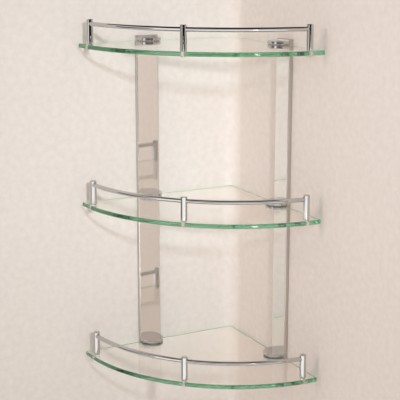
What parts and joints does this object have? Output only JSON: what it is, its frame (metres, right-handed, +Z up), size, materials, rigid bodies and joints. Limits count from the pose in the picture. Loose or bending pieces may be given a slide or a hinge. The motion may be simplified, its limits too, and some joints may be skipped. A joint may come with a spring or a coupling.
{
  "type": "glass corner shelf",
  "caption": "Corner shelf of quarter-round glass tiers with polished gallery rails, hung from two polished wall uprights.",
  "frame": {"origin": "on the corner line where the two walls meet, at the height of the underside of the lowest glass", "axes": "+Z up; the left wall is the plane x = 0 and runs along -Y, the right wall is the plane y = 0 and runs along +X"},
  "size_m": [0.25, 0.25, 0.492],
  "materials": {
    "clear_glass": "clear float glass, green at its polished edges",
    "chrome": "bright chrome plate",
    "mirror_steel": "mirror-polished stainless sheet",
    "clear_pvc": "clear soft sheet",
    "nylon": "natural white",
    "zinc_steel": "bright zinc plate",
    "cast_zinc": "plain die casting"
  },
  "bodies": {
    "root": {"glass_shelf_bottom": "clear_glass", "gallery_rail_bottom": "chrome", "rail_post_left_bottom": "chrome", "rail_post_centre_bottom": "chrome", "rail_post_right_bottom": "chrome", "post_pads_bottom": "clear_pvc", "post_bushes_bottom": "nylon", "post_washers_bottom": "nylon", "post_screws_bottom": "zinc_steel", "clamp_upper_left_bottom": "chrome", "clamp_lower_left_bottom": "chrome", "clamp_upper_right_bottom": "chrome", "clamp_lower_right_bottom": "chrome", "clamp_bushes_bottom": "nylon", "clamp_screws_bottom": "zinc_steel", "glass_shelf_middle": "clear_glass", "gallery_rail_middle": "chrome", "rail_post_left_middle": "chrome", "rail_post_centre_middle": "chrome", "rail_post_right_middle": "chrome", "post_pads_middle": "clear_pvc", "post_bushes_middle": "nylon", "post_washers_middle": "nylon", "post_screws_middle": "zinc_steel", "clamp_upper_left_middle": "chrome", "clamp_lower_left_middle": "chrome", "clamp_upper_right_middle": "chrome", "clamp_lower_right_middle": "chrome", "clamp_bushes_middle": "nylon", "clamp_screws_middle": "zinc_steel", "glass_shelf_top": "clear_glass", "gallery_rail_top": "chrome", "rail_post_left_top": "chrome", "rail_post_centre_top": "chrome", "rail_post_right_top": "chrome", "post_pads_top": "clear_pvc", "post_bushes_top": "nylon", "post_washers_top": "nylon", "post_screws_top": "zinc_steel", "clamp_upper_left_top": "chrome", "clamp_lower_left_top": "chrome", "clamp_upper_right_top": "chrome", "clamp_lower_right_top": "chrome", "clamp_bushes_top": "nylon", "clamp_screws_top": "zinc_steel", "wall_channel_left": "mirror_steel", "clamp_pads_left": "clear_pvc", "wall_bracket_left_lower": "cast_zinc", "wall_bracket_left_upper": "cast_zinc", "channel_set_screws_left": "zinc_steel", "wall_channel_right": "mirror_steel", "clamp_pads_right": "clear_pvc", "wall_bracket_right_lower": "cast_zinc", "wall_bracket_right_upper": "cast_zinc", "channel_set_screws_right": "zinc_steel"}
  },
  "joints": []
}
